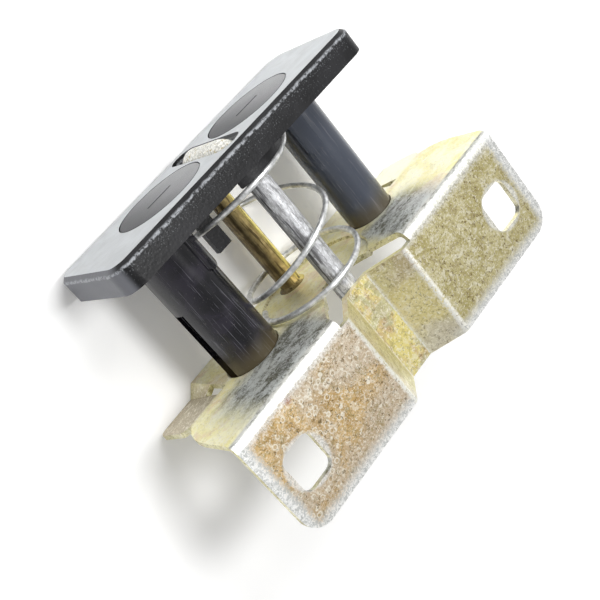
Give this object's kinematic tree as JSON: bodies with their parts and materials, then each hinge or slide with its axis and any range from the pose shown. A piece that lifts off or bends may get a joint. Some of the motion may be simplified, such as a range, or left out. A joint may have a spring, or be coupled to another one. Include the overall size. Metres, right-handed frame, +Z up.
{
  "type": "tailgate striker",
  "caption": "Tailgate striker: a bent rod loop welded to a folded sheet bracket, with a sprung cover plate that slides down over it on guide posts.",
  "frame": {"origin": "midway between the two bolt holes, on the outer face of the ears", "axes": "+X along the cover plate, +Y from the ears back under the plate, +Z up out of the bracket along the slide"},
  "size_m": [0.142, 0.0564, 0.1004],
  "materials": {
    "passivated_sheet": "yellow passivated zinc, worn",
    "striker_steel": "worn zinc",
    "spring_steel": "drawn wire",
    "grained_plastic": "fine grain, scuffed",
    "cap_plastic": "smooth matte",
    "post_plastic": "glossy"
  },
  "bodies": {
    "bracket": {"bracket": "passivated_sheet", "striker_loop": "striker_steel", "return_spring": "spring_steel"},
    "cover": {"cover_plate": "grained_plastic", "guide_post_left": "post_plastic", "guide_post_right": "post_plastic", "cap_left": "cap_plastic", "cap_right": "cap_plastic"}
  },
  "joints": [
    {"name": "cover_slide", "type": "slide", "parent": "bracket", "child": "cover", "axis": [0, 0, -1], "range_m": [0, 0.026], "stiffness_N_per_m": 350, "springref_m": -0.012, "deforming": ["return_spring"]}
  ]
}
